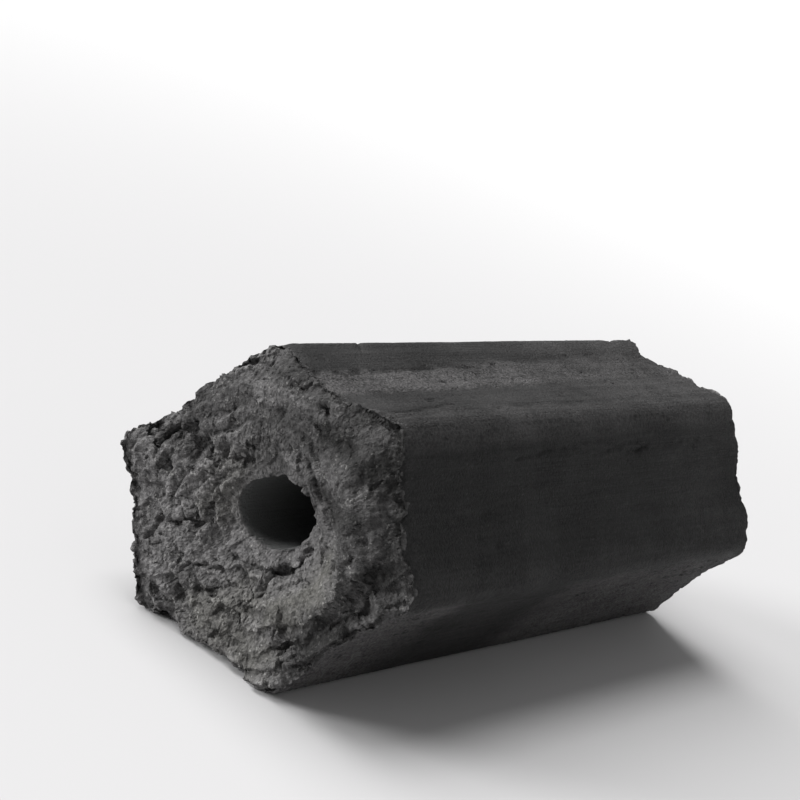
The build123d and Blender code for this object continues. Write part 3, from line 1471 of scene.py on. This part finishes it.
    def soot_bands(self) -> tuple[Smear, ...]:
        """Where the front break is darker than the rest: painted shade, most of it towards the shoulder
        side, where the break turns away from the side light.

        Returns:
            The bands, each from 0 to its own amount.
        """
        return (
            Smear(((-15.0, -13.5), (-18.5, -8.5)), 1.0, 4.2),
            Smear(((-19.5, 0.5), (-21.5, 6.0), (-17.0, 14.0), (-13.0, 19.0)), 0.88, 4.2),
            Smear(((-17.0, 13.0), (-8.5, 15.0), (-4.0, 14.0)), 0.96, 4.2),
            Smear(((-2.0, 13.0), (4.0, 12.5)), 0.74, 4.2),
            Smear(((-5.5, 7.0), (-10.0, 5.0), (-14.0, 7.5)), 0.90, 3.4),
            Smear(((-14.0, 7.5), (-15.0, 2.5)), 0.62, 3.0),
            Smear(((18.6, 2.2), (14.5, 3.4)), 0.70, 3.0),
            Smear(((18.0, 7.0), (13.0, 12.0)), 0.66, 4.2),
            Smear(((4.0, 6.5), (6.0, 10.0)), 0.60, 3.4),
            Smear(((9.0, 19.5), (-10.0, 20.5)), 0.82, 3.8),
            Smear(((-13.0, 20.0), (-22.5, 5.0)), 0.95, 3.2),
            Smear(((-20.5, -5.0), (-24.0, 0.0)), 0.72, 2.8),
        )

    def pale_bands(self) -> tuple[Smear, ...]:
        """Where the front break is paler and warmer than the rest.

        Returns:
            The bands, each from 0 to its own amount.
        """
        return (
            Smear(((-12.4, -1.5), (-12.2, -5.0), (-10.8, -9.0), (-8.0, -11.5)), 1.0, 3.0),
            Smear(((-3.0, -13.0), (3.0, -17.5), (-8.5, -18.8)), 0.8, 3.4),
            Smear(((7.6, -3.0), (7.6, 3.0)), 0.6, 3.0),
        )

    def build(self) -> bpy.types.Object:
        """Makes the stick and fastens it to the frame.

        Returns:
            The piece.
        """
        shell = Shell(
            self.section,
            front_marks=self.front_marks(),
            rear_marks=self.rear_marks(),
            skin_marks=self.skin_marks(),
            calm_spots=self.calm_spots(),
            soot_bands=self.soot_bands(),
            pale_bands=self.pale_bands(),
            wear=self.wear(),
        )
        piece = Weathering().apply(shell.build(), self.section, CharcoalFinish().material())
        self.settle(piece)
        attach(piece, BODY)
        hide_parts(NODE)
        return piece

    @staticmethod
    def settle(piece: bpy.types.Object) -> None:
        """Presses the lowest grains flat, so that the stick rests on the floor and not in it.

        Args:
            piece: The finished stick.
        """
        mesh = piece.data
        places = np.empty(len(mesh.vertices) * 3, np.float32)
        mesh.vertices.foreach_get("co", places)
        places = places.reshape(-1, 3)
        places[:, 2] = np.maximum(places[:, 2], 0.0)
        mesh.vertices.foreach_set("co", places.ravel())
        mesh.update()


@dataclass(frozen=True)
class Sun:
    """One broad, soft light; its direction is towards it, as the camera's right, up and back."""

    name: str
    direction: tuple[float, float, float]
    strength: float
    spread: float

    def hang(self, axes: tuple[Vector, Vector, Vector]) -> None:
        """Hangs the light.

        Args:
            axes: The camera's right, up and back directions in the frame.
        """
        data = bpy.data.lights.new(self.name, "SUN")
        data.energy = self.strength
        data.angle = math.radians(self.spread)
        towards = sum((share * axis for share, axis in zip(self.direction, axes)), Vector()).normalized()
        linked(self.name, data).matrix_world = towards.to_track_quat("Z", "Y").to_matrix().to_4x4()


@dataclass
class Studio:
    """Pale floor, soft lights and the camera. Lengths are in metres and angles in degrees."""

    floor_size: float = 12.0
    # painted shade: the floor's colour near the stick
    shaded_near_floor: Colour = (0.592, 0.588, 0.592)
    far_floor: Colour = (0.76, 0.76, 0.76)
    floor_blend: Place = (0.10, 0.55)
    floor_roughness: float = 0.9
    floor_specular: float = 0.1
    target: tuple[float, float, float] = (-0.0073, 0.0148, 0.0312)
    azimuth: float = -57.15
    elevation: float = 17.73
    roll: float = 22.47
    distance: float = 0.3302
    lens: float = 93.3
    sensor: float = 36.0
    clip: Place = (0.01, 50.0)
    room_light: float = 0.28
    suns: tuple[Sun, ...] = (
        Sun("top_light", (-0.05, 1.0, 0.05), 3.3, 50.0),
        Sun("side_light", (-0.80, 0.52, 0.30), 3.2, 24.0),
    )

    def camera_axes(self) -> tuple[Vector, Vector, Vector]:
        """Works out how the camera stands.

        Returns:
            Its right, up and back directions in the frame.
        """
        turn = math.radians(self.azimuth)
        lift = math.radians(self.elevation)
        back = Vector((math.sin(turn) * math.cos(lift), -math.cos(turn) * math.cos(lift), math.sin(lift)))
        level = Vector((0.0, 0.0, 1.0)).cross(back).normalized()
        rise = back.cross(level)
        roll = math.radians(self.roll)
        right = math.cos(roll) * level + math.sin(roll) * rise
        return right, back.cross(right), back

    def camera(self, axes: tuple[Vector, Vector, Vector]) -> None:
        """Makes the scene's camera.

        Args:
            axes: Its right, up and back directions in the frame.
        """
        data = bpy.data.cameras.new("camera")
        data.lens = self.lens
        data.sensor_width = self.sensor
        data.clip_start, data.clip_end = self.clip
        made = linked("camera", data)
        place = Vector(self.target) + self.distance * axes[2]
        made.matrix_world = Matrix.Translation(place) @ Matrix(axes).transposed().to_4x4()
        bpy.context.scene.camera = made

    def floor(self) -> None:
        """Makes the floor, which grows paler away from the stick: painted shade near it, in place of light
        that falls off across the floor.
        """
        half = self.floor_size / 2
        mesh = bpy.data.meshes.new("floor")
        corners = [(-half, -half, 0.0), (half, -half, 0.0), (half, half, 0.0), (-half, half, 0.0)]
        mesh.from_pydata(corners, [], [(0, 1, 2, 3)])
        finish = bpy.data.materials.new("floor")
        finish.use_nodes = True
        finish.node_tree.nodes.clear()
        graph = Graph(finish.node_tree)
        here = graph.out(graph.node("ShaderNodeTexCoord"), "Object")
        away = graph.out(graph.node("ShaderNodeVectorMath", {"operation": "LENGTH"}, {0: here}), "Value")
        colour = graph.mix_colour(away.step(*self.floor_blend), rgba(self.shaded_near_floor), rgba(self.far_floor))
        inputs = {
            "Base Color": colour,
            "Roughness": self.floor_roughness,
            "Specular IOR Level": self.floor_specular,
        }
        shader = graph.node("ShaderNodeBsdfPrincipled", {}, inputs)
        graph.node("ShaderNodeOutputMaterial", {}, {"Surface": graph.out(shader)})
        mesh.materials.append(finish)
        linked("floor", mesh)

    def room(self) -> None:
        """Sets the room's own even light."""
        world = bpy.data.worlds.new("room")
        world.use_nodes = True
        ground = world.node_tree.nodes["Background"]
        ground.inputs["Color"].default_value = (1.0, 1.0, 1.0, 1.0)
        ground.inputs["Strength"].default_value = self.room_light
        bpy.context.scene.world = world

    def build(self) -> None:
        """Builds the studio."""
        axes = self.camera_axes()
        self.camera(axes)
        self.floor()
        for sun in self.suns:
            sun.hang(axes)
        self.room()
        bpy.context.scene.view_settings.view_transform = "Standard"


def main() -> None:
    """Builds the stick and its studio."""
    logging.basicConfig(level=logging.INFO, format="%(name)s: %(message)s")
    stick = CharcoalStick(Section.from_frame()).build()
    log.info("piece %s has %d faces", stick.name, len(stick.data.polygons))
    Studio().build()
    log.info("studio is ready")


if __name__ == "__main__":
    main()
